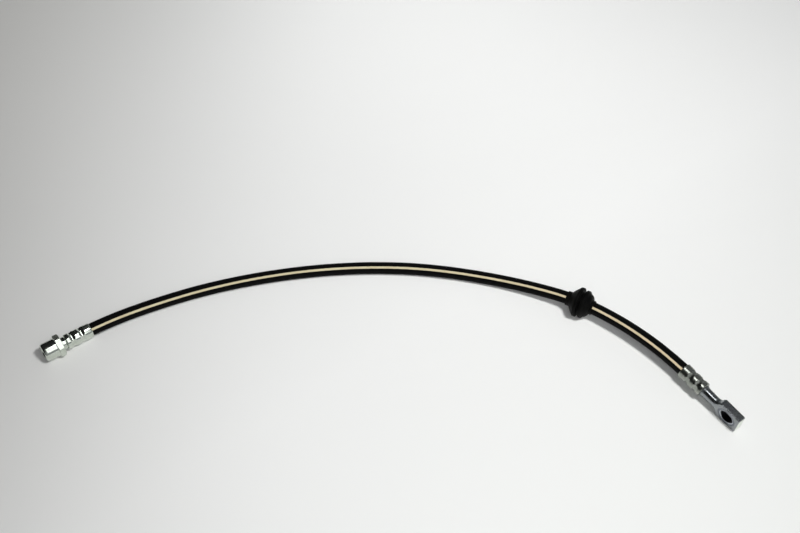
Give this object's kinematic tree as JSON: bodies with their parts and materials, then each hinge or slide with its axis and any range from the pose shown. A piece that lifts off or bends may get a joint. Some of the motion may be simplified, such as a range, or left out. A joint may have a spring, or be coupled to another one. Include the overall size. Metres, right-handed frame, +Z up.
{
  "type": "brake hose",
  "caption": "Flexible brake hose lying in a shallow arc, with crimped end fittings, a female tube port and a banjo eye, and a rubber bracket grommet on the hose.",
  "frame": {"origin": "on the table the hose lies on, under the middle of the box round its two end fittings with their ferrules", "axes": "+Z up; +X runs from the female fitting's side to the banjo fitting's side, along the female fitting from its port towards the hose; the hose bends round towards -Y at the banjo end"},
  "size_m": [0.4053, 0.3906, 0.0259],
  "materials": {
    "zinc_plated_steel": "bright zinc plating",
    "grey_passivated_steel": "dull grey-green plating",
    "black_rubber": "satin",
    "braid_yarn": "matte braided yarn",
    "liner_rubber": "matte"
  },
  "bodies": {
    "root": {"female_end_fitting": "zinc_plated_steel", "female_end_ferrule": "zinc_plated_steel", "banjo_fitting": "grey_passivated_steel", "banjo_end_ferrule": "zinc_plated_steel", "hose_cover": "black_rubber", "outer_braid": "braid_yarn", "inner_braid": "braid_yarn", "inner_tube": "liner_rubber", "bracket_grommet": "black_rubber"}
  },
  "joints": []
}
